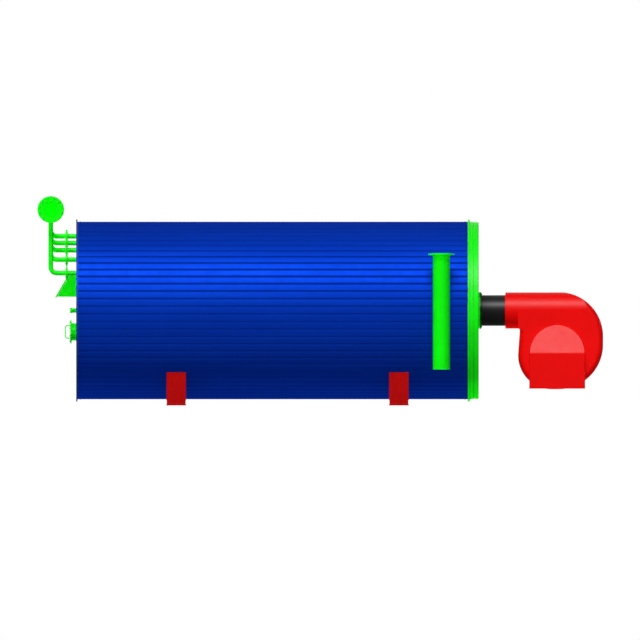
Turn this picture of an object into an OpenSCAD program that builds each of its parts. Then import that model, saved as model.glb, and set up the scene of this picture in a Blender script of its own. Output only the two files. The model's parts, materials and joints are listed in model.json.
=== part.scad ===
// Horizontal coil boiler fired by a gas burner.
// X runs along the casing towards the burner, Y away from the upright header and Z up.
// The origin is on the ground, midway between the two saddles. All sizes are in millimetres.

/* [Casing] */
// Diameter over the strips of the grooved casing
casing_d = 2260; // [2000:10:2600]
// Length of the casing between its end plates
casing_len = 4970; // [4400:10:6000]
// Thickness of the lagged wall, from a strip to the inside
casing_wall = 100; // [60:5:140]
// Grooves round the casing
groove_count = 72; // [48:4:96]
// Strips between the grooves on each side panel
side_strips = 19; // [9:2:21]
// Depth of a groove
groove_depth = 14; // [5:1:20]
// Width of the flat strip between two grooves, as a part of the pitch
strip_share = 0.83; // [0.6:0.01:0.92]
// Width of one sloping wall of a groove, as a part of the pitch
wall_share = 0.015; // [0.01:0.005:0.03]
// Gap between the ground and the lowest strip
floor_gap = 79; // [50:1:200]

/* [End plates and door] */
// Thickness of the rear end plate
rear_plate_t = 16; // [8:1:40]
// Height that both end plates stand proud of the strips
plate_rim = 29; // [10:1:60]
// Thickness of the front ring
front_ring_t = 24; // [10:1:50]
// Thickness of the door frame
door_frame_t = 44; // [20:1:80]
// Width of the groove between door frame and door
door_groove = 11; // [4:1:30]
// Depth of that groove
door_groove_depth = 8; // [4:1:60]
// Thickness of the burner door
door_t = 59; // [30:1:100]
// Height that the door frame stands proud of the door
door_step = 5; // [2:1:40]
// Chamfer on the door's outer edge
door_chamfer = 8; // [2:1:20]

/* [Saddles] */
// Distance from the rear end of the casing to the rear saddle
rear_overhang = 1257; // [700:1:1600]
// Distance from the front saddle to the front end of the casing
front_overhang = 878; // [500:1:1300]
// Width of a saddle along the casing
saddle_w = 250; // [160:5:400]
// Angle of the casing that a saddle holds
saddle_angle = 92; // [70:1:120]
// Thickness of a saddle's web and ribs
saddle_plate_t = 14; // [8:1:30]
// Thickness of the curved bearing plate
bearing_t = 14; // [8:1:30]
// Thickness of the base plate
base_t = 16; // [10:1:40]
// Length of base plate past the outer rib
base_end = 100; // [80:5:200]
// Diameter of an anchor bolt hole
anchor_d = 28; // [18:1:40]

/* [Coil tubes] */
// Outside diameter of a coil tube
tube_d = 60.3; // [40:0.1:90]
// Wall of a coil tube
tube_wall = 4; // [2:0.5:8]
// Distance from the strips to the circle of tubes
tube_inset = 162; // [140:1:260]
// Angles of the tubes on each side, from the top
tube_angles = [12.5, 27.5, 37.5, 48, 60.5];
// Bend radius of the elbows
elbow_r = 76; // [60:1:120]
// Distance from the rear end plate to the joint of the tube flanges
tail_reach = 120; // [60:1:200]
// Diameter of a tube flange
tube_flange_d = 165; // [130:1:200]
// Thickness of a tube flange
tube_flange_t = 11; // [6:1:24]
// Thickness of a gasket
gasket_t = 2; // [1:0.5:4]
// Length of tube inside the rear end plate
tail_inside = 60; // [20:5:150]

/* [Headers] */
// Outside diameter of both headers
header_d = 219.1; // [140:0.1:280]
// Wall of both headers
header_wall = 6.3; // [4:0.1:14]
// Distance from the rear end plate to the rear header's axis
header_reach = 323; // [280:1:500]
// Height of the rear header's axis above the casing
header_lift = 155; // [120:1:400]
// Length of rear header past the last tube at its flanged end
header_end = 235; // [160:5:400]
// Length of rear header past the last tube at its capped end
header_cap_end = 110; // [80:5:300]
// Depth of the dished cap
cap_depth = 56; // [30:1:90]
// Diameter of a header flange
flange_d = 340; // [300:1:420]
// Thickness of a header flange
flange_t = 24; // [14:1:40]
// Bolt circle of a header flange
flange_pcd = 295; // [265:1:370]
// Bolts in a header flange
flange_bolts = 12; // [8:4:16]
// Diameter of a flange bolt hole
flange_hole_d = 22; // [14:1:26]
// Diameter of the raised sealing face
flange_face_d = 266; // [240:1:280]
// Height of the raised sealing face
flange_face_t = 3; // [1:0.5:5]
// Distance from the front end of the casing to the upright header's axis
side_header_inset = 337; // [250:1:900]
// Gap between the casing and the upright header
side_gap = 80; // [40:1:200]
// Height of the upright header's flange above the casing axis
side_header_up = 730; // [650:1:900]
// Depth of the upright header's end below the casing axis
side_header_down = 752; // [650:1:900]
// Thickness of the plate that closes the upright header
side_end_t = 14; // [8:1:30]
// Stubs from the upright header into the casing
stub_count = 10; // [4:1:12]
// Distance between stubs
stub_pitch = 135; // [90:1:150]
// Height of the lowest stub above the upright header's end
stub_first = 125; // [80:1:200]
// Length of stub inside the casing wall
stub_inside = 40; // [10:5:100]

/* [Relief door] */
// Width of the relief duct
duct_w = 300; // [200:5:340]
// Height of the relief duct
duct_h = 271; // [180:1:320]
// Height of the duct's floor above the casing axis
duct_rise = 175; // [120:1:240]
// Depth of the duct along its roof
duct_roof = 83; // [60:1:160]
// Slope of the duct's mouth from upright
duct_slope = 30; // [15:1:40]
// Thickness of the duct's walls
duct_wall = 8; // [4:1:16]
// Thickness of the flap
flap_t = 16; // [8:1:24]
// Width of flap past the duct, all round
flap_lip = 18; // [8:1:40]
// Gap between the flap and the duct's mouth
flap_gap = 5; // [5:0.5:10]
// Diameter of the hinge pin
pin_d = 16; // [10:1:24]
// Distance from the duct's roof edge up the slope to the pin
pin_rise = 22; // [20:1:40]
// Wall of the flap's hinge barrel
barrel_wall = 9; // [5:1:12]
// Length of the hinge barrel
barrel_len = 170; // [100:5:200]
// Thickness of a hinge lug
lug_t = 12; // [8:1:20]
// Length of a hinge lug's foot on the duct's roof
lug_foot = 50; // [30:1:70]

/* [Sight and inspection ports] */
// Outside diameter of the sight tube
sight_d = 55; // [40:1:80]
// Bore of the sight tube
sight_bore = 40; // [20:1:60]
// Length of the sight tube outside the end plate
sight_len = 62; // [40:1:120]
// Diameter of the sight cap
sight_cap_d = 68; // [50:1:110]
// Length of the sight cap
sight_cap_len = 30; // [20:1:60]
// Thickness of the sight glass
sight_glass_t = 8; // [4:1:14]
// Depth of the inspection port's axis below the casing axis
port_drop = 272; // [220:1:400]
// Outside diameter of the inspection neck
port_d = 219.1; // [160:0.1:260]
// Wall of the inspection neck
port_wall = 6; // [4:1:14]
// Length of the inspection neck outside the end plate
port_len = 58; // [40:1:120]
// Thickness of the neck's flange
port_flange_t = 9; // [6:1:20]
// Diameter of the inspection cover
cover_d = 295; // [260:1:360]
// Thickness of the inspection cover
cover_t = 10; // [6:1:24]
// Height of the cover's handle
handle_h = 172; // [120:1:220]
// Reach of the handle from the cover
handle_reach = 66; // [50:1:110]
// Diameter of the handle's bar
handle_d = 13; // [8:1:20]
// Bend radius of the handle
handle_bend = 24; // [16:1:40]

/* [Burner] */
// Diameter of the blast tube
blast_d = 390; // [300:5:440]
// Wall of the blast tube
blast_wall = 8; // [4:1:16]
// Length of blast tube between burner flange and burner neck
blast_len = 306; // [200:1:420]
// Length of blast tube past the inside of the front ring
blast_inside = 120; // [40:5:300]
// Diameter of the burner flange and its pad on the door
burner_flange_d = 464; // [450:1:560]
// Thickness of the pad on the door
burner_pad_t = 17; // [8:1:30]
// Thickness of the burner flange
burner_flange_t = 16; // [8:1:30]
// Diameter of the burner neck, and width of the fan scroll
neck_d = 460; // [450:5:560]
// Length of the burner neck
neck_len = 162; // [100:1:300]
// Wall of the neck and the scroll
scroll_wall = 8; // [4:1:14]
// Depth of the fan axis below the burner axis
fan_drop = 469; // [420:1:540]
// Reach of the scroll in front of the fan axis
scroll_front = 584; // [560:1:700]
// Reach of the scroll behind the fan axis
scroll_back = 498; // [480:1:600]
// Depth of the scroll below the fan axis
scroll_depth = 533; // [520:1:600]
// Height of the scroll's outline over the burner neck
scroll_crown = 3; // [2:1:20]
// Radius of the scroll's upper arc
scroll_upper_r = 560; // [420:1:580]
// Radius of the scroll's lower arc
scroll_lower_r = 569; // [420:1:580]
// Radius of the scroll's heel, below the neck
scroll_heel_r = 427; // [300:1:440]
// Rounding of the scroll's rim
scroll_rim = 75; // [30:1:90]
// Radius of the fan's eye
fan_eye_r = 200; // [120:5:240]

/* [Air intake hood] */
// Half the width of the hood, and the radius of its round top
hood_r = 355; // [300:1:380]
// Distance of the hood's round top below the fan axis
hood_drop = 72; // [40:1:110]
// Length of the hood below its round top
hood_skirt = 454; // [380:1:480]
// Depth of the hood at its flat front
hood_depth = 190; // [150:1:300]
// Depth of the hood at the top of its sloping face
hood_shoulder = 25; // [16:1:60]
// Wall of the hood
hood_wall = 5; // [3:1:10]
// Thickness of the intake grille
grille_t = 6; // [4:1:12]
// Width of a slot in the grille
grille_slot = 26; // [14:1:40]
// Width of a bar in the grille
grille_bar = 14; // [8:1:24]

/* [Fan motor] */
// Diameter of the motor's mounting flange
motor_flange_d = 350; // [330:1:420]
// Thickness of the motor's mounting flange
motor_flange_t = 20; // [12:1:40]
// Diameter of the motor over its fins
motor_d = 290; // [220:1:320]
// Depth of a cooling fin
fin_depth = 20; // [8:1:30]
// Number of cooling fins
fin_count = 36; // [20:1:48]
// Length of the finned body
motor_len = 330; // [240:5:480]
// Diameter of the motor's fan cowl
cowl_d = 306; // [300:1:340]
// Length of the cowl
cowl_len = 92; // [60:1:140]
// Rounding of the cowl's edge
cowl_round = 26; // [10:1:40]
// Size of the terminal box along the motor
terminal_len = 150; // [100:5:220]
// Width of the terminal box
terminal_w = 130; // [90:5:180]
// Height of the terminal box over the fins
terminal_h = 66; // [40:1:110]

/* [Hidden] */
// Running or welding gap between a round piece and its hole
fit = 0.3;
// Gap between the hinge pin and its holes
pin_fit = 0.1;
// Overshoot of a cut past the face that it opens
over = 1;
// Depth that the saddle's web and ribs reach into the bearing plate
weld = 2;
// Set-in of the saddle's ribs from the bearing plate's edge
rib_inset = 5;
// Gap between the hinge barrel and a lug
lug_gap = 6;
// Wall of a lug round the pin
lug_wall = 7;
// Distance from the duct's roof edge down the slope to the top of the flap's plate
flap_top = 3;
// Chamfer on the sight cap
cap_chamfer = 3;
// Corners of a cooling fin along its pitch: the gap's two, then the top's two
fin_corners = [0, 0.55, 0.65, 0.9];
$fn = 96;
casing_r = casing_d / 2;
casing_in_r = casing_r - casing_wall;
// Strips on the top panel and on the bottom panel
roof_strips = groove_count / 2 - side_strips;
axis_z = floor_gap + casing_r;
saddle_spacing = casing_len - rear_overhang - front_overhang;
rear_x = -saddle_spacing / 2 - rear_overhang;
front_x = rear_x + casing_len;
rear_face = rear_x - rear_plate_t;
plate_r = casing_r + plate_rim;
frame_x = front_x + front_ring_t;
door_x = frame_x + door_frame_t;
pad_x = door_x + door_groove + door_t;
burner_flange_x = pad_x + burner_pad_t;
blast_x = burner_flange_x + burner_flange_t;
neck_x = blast_x + blast_len;
scroll_x = neck_x + neck_len;
neck_r = neck_d / 2;
blast_r = blast_d / 2;
tube_r = tube_d / 2;
tube_ring_r = casing_r - tube_inset;
// Places of the ten tubes: distance across, height
tube_places = [
    for (side = [-1, 1])
        for (a = tube_angles)
            [side * tube_ring_r * sin(a), axis_z + tube_ring_r * cos(a)]
];
last_tube_y = tube_ring_r * sin(tube_angles[len(tube_angles) - 1]);
header_r = header_d / 2;
header_x = rear_face - header_reach;
header_z = axis_z + casing_r + header_lift;
// Both header ends are on whole millimetres, so that pipe and cap meet exactly
header_face_y = -round(last_tube_y + header_end);
header_cap_y = round(last_tube_y + header_cap_end);
joint_x = rear_face - tail_reach;
side_x = front_x - side_header_inset;
side_y = -(casing_r + side_gap + header_r);
side_top_z = axis_z + side_header_up;
side_bottom_z = axis_z - side_header_down;
stub_heights = [for (i = [0 : stub_count - 1]) side_bottom_z + stub_first + i * stub_pitch];
bearing_r = casing_r + fit + bearing_t;
saddle_half = bearing_r * sin(saddle_angle / 2);
anchor_y = saddle_half + base_end / 2;
duct_floor_z = axis_z + duct_rise;
duct_roof_z = duct_floor_z + duct_h;
mouth_x = rear_face - duct_roof;
duct_deep = duct_roof + duct_h * tan(duct_slope);
mouth_len = duct_h / cos(duct_slope);
pin_off = flap_gap + flap_t / 2;
barrel_r = pin_d / 2 + barrel_wall;
lug_y = barrel_len / 2 + lug_gap;
port_z = axis_z - port_drop;
cover_x = rear_face - port_len - port_flange_t;
fan_x = scroll_x + scroll_back;
fan_z = axis_z - fan_drop;
scroll_top = fan_drop + neck_r + scroll_crown;
neck_low = fan_drop - neck_r;
hood_z = fan_z - hood_drop;
hood_back_y = -neck_r;
hood_tilt = atan((hood_depth - hood_shoulder) / hood_r);
motor_y = neck_r + motor_flange_t;
terminal_y = motor_y + motor_len / 2;
casing_blue = "#0a3cb4";
pipe_green = "#10d818";
burner_red = "#e01414";
saddle_red = "#ac0808";
heat_black = "#242226";

// Turns a shape that stands on Z so that it runs along X
module along_x() {
    rotate([0, 90, 0]) children();
}

// Turns a shape that stands on Z so that it runs along Y
module along_y() {
    rotate([-90, 0, 0]) children();
}

// Extrudes an outline drawn across the casing, width to Y and height to Z, along X
module extrude_x(length) {
    rotate([90, 0, 90]) linear_extrude(length) children();
}

// Extrudes an outline drawn along the casing, width to X and height to Z, along Y
module extrude_y(length) {
    translate([0, length, 0]) rotate([90, 0, 0]) linear_extrude(length) children();
}

// A round bar with a round hole along Z
module pipe(outer_r, inner_r, length) {
    difference() {
        cylinder(r = outer_r, h = length);
        translate([0, 0, -over]) cylinder(r = inner_r, h = length + 2 * over);
    }
}

// A rectangle whose corners are rounded by radii, from bottom left round by bottom right
module rounded_block(x0, x1, y0, y1, radii) {
    corners = [[x0, y0, 1, 1], [x1, y0, -1, 1], [x1, y1, -1, -1], [x0, y1, 1, -1]];
    difference() {
        translate([x0, y0]) square([x1 - x0, y1 - y0]);
        for (i = [0 : 3])
            if (radii[i] > 0)
                corner_cut(corners[i], radii[i]);
    }
}

// What a rounded corner takes off a rectangle
module corner_cut(corner, r) {
    to_centre = [corner[2] * r, corner[3] * r];
    to_middle = [corner[2] * (r - over) / 2, corner[3] * (r - over) / 2];
    translate([corner[0], corner[1]])
        difference() {
            translate(to_middle) square(r + over, center = true);
            translate(to_centre) circle(r);
        }
}

// Outline of a panel of the casing, centred on the angle zero, with a groove at each end of a strip
function panel_outline(strips) =
    let (
        pitch = 360 / groove_count,
        half = strips * pitch / 2,
        low = casing_r - groove_depth,
        floor_half = (1 - strip_share - 2 * wall_share) / 2,
        shares = [floor_half, floor_half + wall_share, 1 - floor_half - wall_share, 1 - floor_half]
    )
        concat(
            [[0, 0], low * [cos(half), -sin(half)]],
            [
                for (i = [0 : strips - 1])
                    for (corner = [0 : 3])
                        let (
                            r = corner == 1 || corner == 2 ? casing_r : low,
                            a = -half + (i + shares[corner]) * pitch
                        )
                            r * [cos(a), sin(a)]
            ],
            [low * [cos(half), sin(half)]]
        );

// A panel of the casing: lagged wall under grooved sheet
module casing_panel(angle, strips) {
    color(casing_blue)
        difference() {
            translate([rear_x, 0, axis_z]) rotate([angle, 0, 0]) extrude_x(casing_len)
                polygon(panel_outline(strips));
            translate([rear_x - over, 0, axis_z]) along_x()
                cylinder(r = casing_in_r, h = casing_len + 2 * over);
            for (z = stub_heights)
                translate([side_x, side_y, z]) along_y() cylinder(r = tube_r + fit, h = -side_y);
        }
}

// End plate with holes for the coil tails, the relief duct and the two ports
module rear_end_plate() {
    color(casing_blue)
        difference() {
            translate([rear_face, 0, axis_z]) along_x() cylinder(r = plate_r, h = rear_plate_t);
            translate([rear_face - over, 0, 0]) {
                for (place = tube_places)
                    translate([0, place[0], place[1]]) along_x()
                        cylinder(r = tube_r + fit, h = rear_plate_t + 2 * over);
                translate([0, 0, axis_z]) along_x()
                    cylinder(r = sight_d / 2 + fit, h = rear_plate_t + 2 * over);
                translate([0, 0, port_z]) along_x()
                    cylinder(r = port_d / 2 + fit, h = rear_plate_t + 2 * over);
                translate([0, duct_wall - duct_w / 2, duct_floor_z + duct_wall])
                    cube([rear_plate_t + 2 * over, duct_w - 2 * duct_wall, duct_h - 2 * duct_wall]);
            }
        }
}

// Ring that closes the lagged wall at the front and carries the door
module front_ring() {
    color(pipe_green)
        translate([front_x, 0, axis_z]) along_x() pipe(plate_r, casing_in_r, front_ring_t);
}

// Fixed frame of the door
module door_frame() {
    color(pipe_green)
        translate([frame_x, 0, axis_z]) along_x() pipe(casing_r, blast_r + fit, door_frame_t);
}

// Burner door: a disc with a chamfered edge on a smaller spigot that leaves the groove
module burner_door() {
    door_r = casing_r - door_step;
    groove_r = door_r - door_groove_depth;
    door_end = door_groove + door_t;
    color(pipe_green)
        translate([door_x, 0, axis_z]) along_x() rotate_extrude()
            polygon([
                [blast_r + fit, 0],
                [groove_r, 0],
                [groove_r, door_groove],
                [door_r, door_groove],
                [door_r, door_end - door_chamfer],
                [door_r - door_chamfer, door_end],
                [blast_r + fit, door_end]
            ]);
}

// Raised pad on the door that the burner flange is bolted to
module burner_pad() {
    color(pipe_green)
        translate([pad_x, 0, axis_z]) along_x() pipe(burner_flange_d / 2, blast_r + fit, burner_pad_t);
}

// Welded saddle: one web across, five ribs along and a curved bearing plate
module saddle(x) {
    rib_w = saddle_w - 2 * rib_inset;
    rib_step = (saddle_half - saddle_plate_t / 2) / 2;
    color(saddle_red)
        translate([x, 0, 0]) {
            difference() {
                union() {
                    translate([-saddle_plate_t / 2, -saddle_half, base_t])
                        cube([saddle_plate_t, 2 * saddle_half, axis_z - base_t]);
                    for (i = [-2 : 2])
                        translate([-rib_w / 2, i * rib_step - saddle_plate_t / 2, base_t])
                            cube([rib_w, saddle_plate_t, axis_z - base_t]);
                }
                translate([-saddle_w, 0, axis_z]) along_x()
                    cylinder(r = bearing_r - weld, h = 2 * saddle_w);
                translate([-saddle_w, -casing_d, axis_z - bearing_r * cos(saddle_angle / 2)])
                    cube([2 * saddle_w, 2 * casing_d, casing_d]);
            }
            bearing_plate();
        }
}

// Curved plate between the saddle and the casing
module bearing_plate() {
    reach = 2 * casing_r;
    translate([-saddle_w / 2, 0, axis_z])
        intersection() {
            along_x() pipe(bearing_r, casing_r + fit, saddle_w);
            extrude_x(saddle_w)
                polygon([
                    [0, 0],
                    [-reach * sin(saddle_angle / 2), -reach * cos(saddle_angle / 2)],
                    [0, -2 * reach],
                    [reach * sin(saddle_angle / 2), -reach * cos(saddle_angle / 2)]
                ]);
        }
}

// Base plate with an anchor bolt hole at each end
module base_plate(x) {
    half = saddle_half + base_end;
    color(saddle_red)
        translate([x, 0, 0])
            difference() {
                translate([-saddle_w / 2, -half, 0]) cube([saddle_w, 2 * half, base_t]);
                for (side = [-1, 1])
                    translate([0, side * anchor_y, -over]) cylinder(d = anchor_d, h = base_t + 2 * over);
            }
}

// Header pipe above the rear end, open at its flanged end
module rear_header_pipe() {
    color(pipe_green)
        translate([header_x, header_face_y, header_z]) along_y()
            pipe(header_r, header_r - header_wall, header_cap_y - header_face_y);
}

// Header flange standing on Z with its sealing face at the origin, looking down
module header_flange() {
    color(pipe_green)
        difference() {
            union() {
                cylinder(d = flange_face_d, h = flange_face_t + over);
                translate([0, 0, flange_face_t]) cylinder(d = flange_d, h = flange_t - flange_face_t);
            }
            translate([0, 0, -over]) cylinder(r = header_r + fit, h = flange_t + 2 * over);
            for (i = [0 : flange_bolts - 1])
                rotate([0, 0, (i + 0.5) * 360 / flange_bolts])
                    translate([flange_pcd / 2, 0, -over])
                        cylinder(d = flange_hole_d, h = flange_t + 2 * over);
        }
}

module rear_header_flange() {
    translate([header_x, header_face_y, header_z]) along_y() header_flange();
}

// Dished cap on the far end of the rear header
module rear_header_cap() {
    skirt = cap_depth / 3;
    color(pipe_green)
        translate([header_x, header_cap_y, header_z]) along_y()
            difference() {
                dish(header_r, cap_depth, skirt);
                translate([0, 0, -over])
                    dish(header_r - header_wall, cap_depth - header_wall + over, skirt + over);
            }
}

// Solid of revolution with a straight skirt and a crown that is an arc of a circle
module dish(r, depth, skirt) {
    crown = depth - skirt;
    crown_r = (r * r + crown * crown) / (2 * crown);
    intersection() {
        cylinder(r = r, h = depth);
        translate([0, 0, depth - crown_r]) sphere(crown_r);
    }
}

// Upright tubes from the rear header down to the elbows
module coil_risers() {
    color(pipe_green)
        for (place = tube_places)
            difference() {
                translate([header_x, place[0], place[1] + elbow_r])
                    pipe(tube_r, tube_r - tube_wall, header_z - place[1] - elbow_r);
                translate([header_x, place[0] - tube_d, header_z]) along_y()
                    cylinder(r = header_r + fit, h = 2 * tube_d);
            }
}

// Quarter bends at the foot of the risers
module coil_elbows() {
    color(pipe_green)
        for (place = tube_places)
            translate([header_x + elbow_r, place[0], place[1] + elbow_r])
                rotate([90, 0, 0]) rotate([0, 0, 180])
                    rotate_extrude(angle = 90)
                        translate([elbow_r, 0])
                            difference() {
                                circle(tube_r);
                                circle(tube_r - tube_wall);
                            }
}

// Flange on a tube end, standing on Z with its joint face at the origin
module tube_end(length) {
    difference() {
        union() {
            cylinder(r = tube_r, h = length);
            cylinder(d = tube_flange_d, h = tube_flange_t);
        }
        translate([0, 0, -over]) cylinder(r = tube_r - tube_wall, h = length + 2 * over);
    }
}

// Level tubes from the elbows to the flange joints
module coil_spools() {
    color(pipe_green)
        for (place = tube_places)
            translate([joint_x - gasket_t, place[0], place[1]]) rotate([0, -90, 0])
                tube_end(joint_x - gasket_t - header_x - elbow_r);
}

// Full-face gaskets in the flange joints
module coil_gaskets() {
    color(heat_black)
        for (place = tube_places)
            translate([joint_x - gasket_t, place[0], place[1]]) along_x()
                pipe(tube_flange_d / 2, tube_r, gasket_t);
}

// Tube ends that come out of the rear end plate
module coil_tails() {
    color(pipe_green)
        for (place = tube_places)
            translate([joint_x, place[0], place[1]]) along_x()
                tube_end(tail_reach + rear_plate_t + tail_inside);
}

// Side view of the relief duct
module duct_outline() {
    polygon([
        [mouth_x, duct_roof_z],
        [rear_face, duct_roof_z],
        [rear_face, duct_floor_z],
        [mouth_x - duct_h * tan(duct_slope), duct_floor_z]
    ]);
}

// Duct with a sloping mouth, and two lugs on its roof for the hinge pin
module relief_duct() {
    color(pipe_green) {
        difference() {
            translate([0, -duct_w / 2, 0]) extrude_y(duct_w) duct_outline();
            translate([0, duct_wall - duct_w / 2, duct_floor_z + duct_wall])
                translate([rear_face - 2 * duct_deep, 0, 0])
                    cube([2 * duct_deep + over, duct_w - 2 * duct_wall, duct_h - 2 * duct_wall]);
        }
        for (side = [0, 1]) mirror([0, side, 0]) hinge_lug();
    }
}

// Upright ear on the duct's roof with a hole for the pin
module hinge_lug() {
    sink = duct_wall / 2;
    translate([0, lug_y, 0])
        difference() {
            extrude_y(lug_t)
                hull() {
                    translate(pin_place()) circle(pin_d / 2 + lug_wall, $fn = 32);
                    translate([mouth_x + duct_wall, duct_roof_z - sink]) square([lug_foot, sink]);
                }
            translate([pin_place()[0], -over, pin_place()[1]]) along_y()
                cylinder(r = pin_d / 2 + pin_fit, h = lug_t + 2 * over);
        }
}

// Centre of the hinge pin: across and height
function pin_place() = [mouth_x, duct_roof_z]
    + pin_rise * [sin(duct_slope), cos(duct_slope)]
    + pin_off * [-cos(duct_slope), sin(duct_slope)];

// Flap that lies on the sloping mouth and swings on its barrel
module relief_flap() {
    width = duct_w + 2 * flap_lip;
    color(pipe_green)
        translate([pin_place()[0], 0, pin_place()[1]]) rotate([0, duct_slope, 0])
            difference() {
                union() {
                    translate([-flap_t / 2, -width / 2, -pin_rise - mouth_len - flap_lip])
                        cube([flap_t, width, mouth_len + flap_lip - flap_top]);
                    translate([-flap_t / 2, -barrel_len / 2, -pin_rise - 2 * flap_top])
                        cube([flap_t, barrel_len, pin_rise + 2 * flap_top]);
                    translate([0, -barrel_len / 2, 0]) along_y() cylinder(r = barrel_r, h = barrel_len);
                }
                translate([0, -barrel_len / 2 - over, 0]) along_y()
                    cylinder(r = pin_d / 2 + pin_fit, h = barrel_len + 2 * over);
            }
}

module relief_hinge_pin() {
    half = lug_y + lug_t + pin_d / 2;
    color(pipe_green)
        translate([pin_place()[0], -half, pin_place()[1]]) along_y() cylinder(d = pin_d, h = 2 * half);
}

// Sight tube on the casing axis
module sight_tube() {
    color(pipe_green)
        translate([rear_face - sight_len, 0, axis_z]) along_x()
            pipe(sight_d / 2, sight_bore / 2, sight_len + rear_plate_t);
}

// Screw cap on the sight tube, with a window and a seat for the glass
module sight_cap() {
    seat = sight_cap_len - sight_glass_t;
    cap_x = rear_face - sight_len - sight_glass_t;
    color(pipe_green)
        translate([cap_x, 0, axis_z]) along_x() rotate_extrude()
            polygon([
                [sight_bore / 2, -sight_glass_t],
                [sight_cap_d / 2 - cap_chamfer, -sight_glass_t],
                [sight_cap_d / 2, cap_chamfer - sight_glass_t],
                [sight_cap_d / 2, seat],
                [sight_d / 2 + fit, seat],
                [sight_d / 2 + fit, 0],
                [sight_bore / 2, 0]
            ]);
}

// Round glass between cap and tube
module sight_glass() {
    color("lightblue")
        translate([rear_face - sight_len - sight_glass_t, 0, axis_z]) along_x()
            cylinder(d = sight_d, h = sight_glass_t);
}

// Neck of the inspection port with its flange
module inspection_neck() {
    length = port_flange_t + port_len + rear_plate_t;
    color(pipe_green)
        translate([cover_x, 0, port_z]) along_x()
            difference() {
                union() {
                    cylinder(d = port_d, h = length);
                    cylinder(d = cover_d, h = port_flange_t);
                }
                translate([0, 0, -over])
                    cylinder(r = port_d / 2 - port_wall, h = length + 2 * over);
            }
}

module inspection_cover() {
    color(pipe_green)
        translate([cover_x - cover_t, 0, port_z]) along_x() cylinder(d = cover_d, h = cover_t);
}

// Bar handle with two bends, standing on the cover
module inspection_handle() {
    bar_r = handle_d / 2;
    half = handle_h / 2 - bar_r;
    leg = handle_reach - bar_r - handle_bend;
    color(pipe_green)
        translate([cover_x - cover_t, 0, port_z]) {
            translate([bar_r - handle_reach, 0, handle_bend - half])
                cylinder(r = bar_r, h = 2 * half - 2 * handle_bend);
            for (side = [0, 1])
                mirror([0, 0, side]) {
                    translate([-leg, 0, half]) along_x() cylinder(r = bar_r, h = leg);
                    translate([-leg, 0, half - handle_bend]) rotate([90, 0, 0]) rotate([0, 0, 90])
                        rotate_extrude(angle = 90) translate([handle_bend, 0]) circle(bar_r);
                }
        }
}

// Upright header beside the casing
module side_header_pipe() {
    color(pipe_green)
        translate([side_x, side_y, side_bottom_z + side_end_t])
            pipe(header_r, header_r - header_wall, side_top_z - side_bottom_z - side_end_t);
}

module side_header_flange() {
    translate([side_x, side_y, side_top_z]) rotate([180, 0, 0]) header_flange();
}

module side_header_end() {
    color(pipe_green)
        translate([side_x, side_y, side_bottom_z]) cylinder(r = header_r, h = side_end_t);
}

// Short tubes from the upright header through the casing wall
module side_header_stubs() {
    color(pipe_green)
        for (z = stub_heights) {
            inside_y = -sqrt(pow(casing_in_r, 2) - pow(z - axis_z, 2)) + stub_inside;
            difference() {
                translate([side_x, side_y, z]) along_y()
                    pipe(tube_r, tube_r - tube_wall, inside_y - side_y);
                translate([side_x, side_y, z - tube_d]) cylinder(r = header_r + fit, h = 2 * tube_d);
            }
        }
}

module burner_flange() {
    color(heat_black)
        translate([burner_flange_x, 0, axis_z]) along_x()
            pipe(burner_flange_d / 2, blast_r + fit, burner_flange_t);
}

// Blast tube from the burner through the door into the casing
module blast_tube() {
    start = front_x - blast_inside;
    color(heat_black)
        translate([start, 0, axis_z]) along_x() pipe(blast_r, blast_r - blast_wall, neck_x - start);
}

// Round neck between the blast tube and the fan scroll
module burner_neck() {
    color(burner_red)
        translate([neck_x, 0, axis_z]) along_x()
            difference() {
                cylinder(r = neck_r, h = neck_len);
                translate([0, 0, scroll_wall]) cylinder(r = neck_r - scroll_wall, h = neck_len);
                translate([0, 0, -over]) cylinder(r = blast_r - blast_wall, h = neck_len);
            }
}

// Side view of the scroll about the fan axis, set in by a distance: a block with three round corners
module scroll_outline(inset) {
    rounded_block(
        -scroll_back + inset, scroll_front - inset, -scroll_depth + inset, scroll_top - inset,
        [scroll_heel_r - inset, scroll_lower_r - inset, scroll_upper_r - inset, 0]
    );
}

// Round bars along one edge of the scroll, bent round its three corners
module scroll_edge(bar_r) {
    heel = [scroll_heel_r - scroll_back, scroll_heel_r - scroll_depth];
    lower = [scroll_front - scroll_lower_r, scroll_lower_r - scroll_depth];
    upper = [scroll_front - scroll_upper_r, scroll_top - scroll_upper_r];
    bends = [[heel, scroll_heel_r, 180], [lower, scroll_lower_r, 270], [upper, scroll_upper_r, 0]];
    for (bend = bends)
        translate([bend[0][0], 0, bend[0][1]]) rotate([90, 0, 0]) rotate([0, 0, bend[2]])
            rotate_extrude(angle = 90) translate([bend[1] - scroll_rim, 0]) circle(bar_r);
    translate([heel[0], 0, scroll_rim - scroll_depth]) along_x()
        cylinder(r = bar_r, h = lower[0] - heel[0]);
    translate([scroll_front - scroll_rim, 0, lower[1]])
        cylinder(r = bar_r, h = upper[1] - lower[1]);
    translate([scroll_rim - scroll_back, 0, heel[1]])
        cylinder(r = bar_r, h = neck_low - heel[1]);
}

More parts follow.
